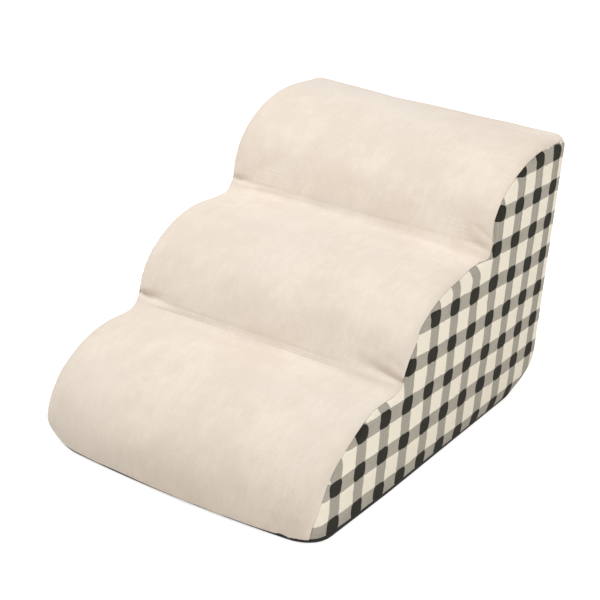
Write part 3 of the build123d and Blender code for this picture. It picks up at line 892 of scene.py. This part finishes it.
def back_panel(name, node, start_run, end_run, slot_side):
    """One back panel between two distances along the outline. Beside the slot it ends on the zip's
    middle line, and along the slot on the slot's edge, with an eased step between the two."""
    columns = lip_places(-edge_run, edge_run, tread_pitch)
    steps = slot_half_length + np.arange(-2, slot_step / mm + 3, 0.5) * mm
    columns = thinned(np.concatenate([columns, steps, -steps]), 0.08 * mm)
    length = end_run - start_run
    rows = lip_places(0, length, tread_pitch)[:, None] / length
    opening = slot_half_height * (1 - eased(np.abs(columns), slot_half_length, slot_half_length + slot_step))
    first = start_run + (opening if slot_side < 0 else 0 * opening)
    last = end_run - (opening if slot_side > 0 else 0 * opening)
    run = first + (last - first) * rows
    across = np.repeat(columns[None, :], len(rows), 0)
    points, normals = cover_surface(run, across)
    to_side = edge_run - np.abs(across)
    inside = np.minimum(np.minimum(run - first, last - run), to_side)
    slack = back_slack * clouds(run, across, back_slack_size, 22) * np.clip(inside / slack_reach, 0, 1)
    sink = gathered(run, to_side, 11 * mm, 21) + lip_depth(inside)
    points = shaped(points + normals * (slack - sink)[..., None])
    piece = cloth_piece(name, points, normals, np.stack([across, run], -1), beige_plush)
    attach(piece, "cover")
    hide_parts(node)


zip_run, rim_run = run_behind(zip_height), run_behind(rim_height)
back_panel("back_cover_upper", "back_panel_upper", crest_run, zip_run, 1)
back_panel("back_cover_lower", "back_panel_lower", zip_run, rim_run, -1)

# Base: a tray of black non-slip cloth. Its low rim stands up round the foot of the cover, and rows of
# small rubber dots grip the floor.
rim_proud = 0.7 * mm
front_set_back = 1.0 * mm
base_edge_radius = 2.6 * mm
dot_height = 0.6 * mm
dot_radius = 1.7 * mm
dot_pitch = 13 * mm
dot_margin = 22 * mm
foot_y = float(profile[-1, 0])


def base_outline(inset, height, count=64):
    """The base's outline at a height, drawn in by an inset: quarter circles of points at the four
    corners, joined by straight rows of points, as a closed loop seen from above."""
    radius = side_radius - inset
    half = stair_half_width - inset
    rear = foot_y + height * tan(heel_turn) - inset
    front = front_y + inset + front_set_back
    quarter = np.linspace(0, pi / 2, 16)
    loop = []
    corners = ((1, 1), (-1, 1), (-1, -1), (1, -1))
    for number, (side, way) in enumerate(corners):
        middle = (side * (half - radius), rear - radius if way > 0 else front + radius)
        angle = quarter + number * pi / 2
        loop.append(np.column_stack([middle[0] + radius * np.cos(angle), middle[1] + radius * np.sin(angle)]))
    rows = []
    for number in range(4):
        start, end = loop[number][-1], loop[(number + 1) % 4][0]
        rows += [loop[number], start + np.linspace(0, 1, count)[1:-1, None] * (end - start)]
    rows.append(loop[0][:1])
    outline = np.vstack(rows)
    return np.column_stack([outline, np.full(len(outline), height)])


def tube_faces(sides, rings):
    """The four-cornered faces between rings of points that follow each other, as numbers of points."""
    step = np.arange(sides)
    after = (step + 1) % sides
    strip = np.column_stack([step, after, sides + after, sides + step])
    return np.vstack([strip + sides * ring for ring in range(rings - 1)])


def base_cloth_finish():
    """Black non-slip cloth: a fine plain weave, nearly black, with a little dust in it."""
    material, tree = surface("base_cloth", 0.75, specular=0.3)
    place = coordinates(tree)
    dust = spread(tree, noise(tree, place, 30.0, 4.0, 0.6), 0.45, 0.75, 0.0, 0.5)
    colour = blend_colours(tree, dust, (0.008, 0.0075, 0.007, 1), (0.022, 0.020, 0.018, 1))
    return coated(material, colour, noise(tree, place, 900.0, 1.0), 0.3 * mm, 0.6)


base_cloth = base_cloth_finish()
levels = [(1.5 * mm, rim_height + 0.8 * mm), (0.4 * mm - rim_proud, rim_height + 0.3 * mm)]
levels.append((-rim_proud, 5 * mm))
for angle in np.linspace(0, pi / 2, 6):
    inset = base_edge_radius * (1 - cos(angle)) - rim_proud
    levels.append((inset, dot_height + base_edge_radius * (1 - sin(angle))))
loops = [base_outline(inset, height) for inset, height in levels]
spine = loops[-1] * (0, 0.6, 1)
for share in np.linspace(0, 1, 16)[1:]:
    loops.append(loops[len(levels) - 1] * (1 - share) + spine * share)
base_points = shaped(np.stack(loops))
base_outward = base_points - base_points.mean((0, 1)) - (0, 0, 40 * mm)
base = grid_mesh("base_tray", base_points, base_outward, base_cloth, base_points[..., :2])
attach(base, "cover")
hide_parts("base_panel")

dot_x = np.arange(-stair_half_width + dot_margin, stair_half_width - dot_margin, dot_pitch)
dot_y = np.arange(front_y + dot_margin, foot_y - dot_margin, dot_pitch * sin(pi / 3))
grid_x, grid_y = np.meshgrid(dot_x, dot_y)
grid_x = grid_x + (np.arange(len(dot_y)) % 2)[:, None] * dot_pitch / 2
ring = np.linspace(0, 2 * pi, 9)[:-1]
cap = np.column_stack([np.cos(ring), np.sin(ring)])
rings = [(dot_radius, dot_height + 0.2 * mm), (dot_radius, 0.25 * mm), (0.6 * dot_radius, 0.0)]
dot = np.vstack([np.column_stack([radius * cap, np.full(8, height)]) for radius, height in rings])
spots = shaped(np.column_stack([grid_x.ravel(), grid_y.ravel(), 0 * grid_x.ravel()]))
dot_points = (spots[:, None, :] + dot[None, :, :]).reshape(-1, 3)
dot_quads = (tube_faces(8, 3)[None, :, ::-1] + 24 * np.arange(len(spots))[:, None, None]).reshape(-1, 4)
dot_caps = np.arange(16, 24)[None, ::-1] + 24 * np.arange(len(spots))[:, None]
dots = faced_piece("grip_dots", dot_points.tolist(), dot_quads.tolist() + dot_caps.tolist(), base_cloth)
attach(dots, "cover")

# Zip: two woven tapes sewn behind the edges of the slot with a row of stitches above and below it,
# moulded teeth and stops on the tapes, and a painted metal slider with its pull, which hangs on a pin.
stitch_length = 2.6 * mm
stitch_pitch = 3.4 * mm
stitch_radius = 0.34 * mm
stitch_margin = 3.2 * mm
tape_rib = 0.9 * mm
# tape_dark_and_groove_shade is the tape's darker tone and also painted shade in the grooves between its ribs.
tape_light, tape_dark_and_groove_shade = (0.72, 0.63, 0.53, 1), (0.60, 0.51, 0.42, 1)
bevel_sizes = {"zipper_slider": 0.25 * mm, "zipper_pull": 0.2 * mm}


def tape_finish():
    """Woven tape: slanting ribs, with painted shade in the grooves between them and an uneven tone."""
    material, tree = surface("zip_tape", 0.85, specular=0.2)
    place = coordinates(tree)
    split = tree.nodes.new("ShaderNodeSeparateXYZ")
    wire(tree, place, split.inputs[0])
    zigzag = calc(tree, "PINGPONG", split.outputs[2], 1.6 * mm)
    slanted = calc(tree, "MULTIPLY", calc(tree, "ADD", split.outputs[0], zigzag), 2 * pi / tape_rib)
    ribs = calc(tree, "MULTIPLY_ADD", calc(tree, "SINE", slanted), 0.5, 0.5)
    # Painted shade: the colour darkens in the grooves between the ribs, where their height is low; the noise
    # adds an uneven tone.
    tone = calc(tree, "MULTIPLY_ADD", ribs, 0.6, calc(tree, "MULTIPLY", noise(tree, place, 260.0, 2.0), 0.4))
    return coated(material, blend_colours(tree, tone, tape_dark_and_groove_shade, tape_light), ribs, 0.2 * mm, 0.7)


def moulded_finish(name, light, dark, roughness, metallic=0.0):
    """A moulded or painted finish in two near tones, with a fine grain in its shine and surface."""
    material, tree = surface(name, roughness, metallic=metallic)
    place = coordinates(tree)
    grain = noise(tree, place, 2600.0, 1.0)
    colour = blend_colours(tree, noise(tree, place, 160.0, 3.0), light, dark)
    dullness = spread(tree, grain, 0.3, 0.7, roughness - 0.08, roughness + 0.1)
    wire(tree, dullness, tree.nodes["Principled BSDF"].inputs["Roughness"])
    return coated(material, colour, grain, 0.05 * mm, 0.5)


def stitch_row(name, height):
    """A row of thread stitches along the zip at a height: each is a bar of four rings of six points,
    bent so that both its ends dip into the cloth."""
    places = np.arange(-slot_half_length - 6 * mm, slot_half_length + 6 * mm, stitch_pitch)
    turn = np.linspace(0, 2 * pi, 7)[:-1]
    share = np.array([-0.5, -0.3, 0.3, 0.5])
    along = np.repeat(share * stitch_length, 6)
    dip = np.repeat(np.array([0.5, -0.1, -0.1, 0.5]) * mm, 6)
    thick = np.repeat(np.array([0.5, 1.0, 1.0, 0.5]) * stitch_radius, 6)
    out = np.tile(np.cos(turn), 4) * thick - dip
    up = np.tile(np.sin(turn), 4) * thick
    y = on_profile(run_behind(height))[0]
    bar = np.column_stack([along, y + out, height + up])
    points = (places[:, None, None] * (1, 0, 0) + bar[None, :, :]).reshape(-1, 3)
    shift = 24 * np.arange(len(places))[:, None, None]
    faces = (tube_faces(6, 4)[None, :, :] + shift).reshape(-1, 4).tolist()
    caps = [np.arange(6)[::-1], np.arange(18, 24)]
    faces += [list(cap + 24 * number) for number in range(len(places)) for cap in caps]
    row = faced_piece(name, points.tolist(), faces, thread_material)
    row.data.polygons.foreach_set("use_smooth", np.ones(len(row.data.polygons), bool))
    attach(row, "cover")


tape_material = tape_finish()
thread_material = moulded_finish("thread", (0.80, 0.71, 0.60, 1), (0.68, 0.59, 0.48, 1), 0.7)
for row in ("upper", "lower"):
    name, cover_name = "zipper_tape_" + row, "back_cover_" + row
    low, high = (np.array(corner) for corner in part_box(name))
    lengthwise, upwards = np.linspace(low[0], high[0], 180), np.linspace(low[2], high[2], 14)
    along, up = np.meshgrid(lengthwise, upwards, indexing="ij")
    points = np.stack([along, np.full(along.shape, high[1]), up], -1)
    normals = np.broadcast_to((0.0, 1.0, 0.0), points.shape)
    tape = grid_mesh("woven_tape_" + row, points, normals, tape_material, points[..., ::2])
    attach(tape, "cover")
    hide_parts(name)
    size = (float(high[0] - low[0]), float(high[2] - low[2]))
stitch_row("zip_stitches_upper", zip_height + slot_half_height + stitch_margin)
stitch_row("zip_stitches_lower", zip_height - slot_half_height - stitch_margin)

tooth_material = moulded_finish("moulded_teeth", (0.70, 0.60, 0.50, 1), (0.60, 0.50, 0.41, 1), 0.4)
metal_material = moulded_finish("painted_slider", (0.66, 0.56, 0.46, 1), (0.56, 0.47, 0.38, 1), 0.35, 0.3)
moulded = ("zipper_teeth_upper", "zipper_teeth_lower", "zipper_top_stops", "zipper_bottom_stop")
for name in (*moulded, *bevel_sizes):
    nodes[name].data.materials.clear()
    nodes[name].data.materials.append(tooth_material if name in moulded else metal_material)
for name, size in bevel_sizes.items():
    nodes[name].modifiers.new("weld", "WELD").merge_threshold = 0.01 * mm
    bevel = nodes[name].modifiers.new("bevel", "BEVEL")
    bevel.width = size
    bevel.segments = 2
    bevel.angle_limit = radians(35)
    bevel.harden_normals = True

low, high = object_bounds()
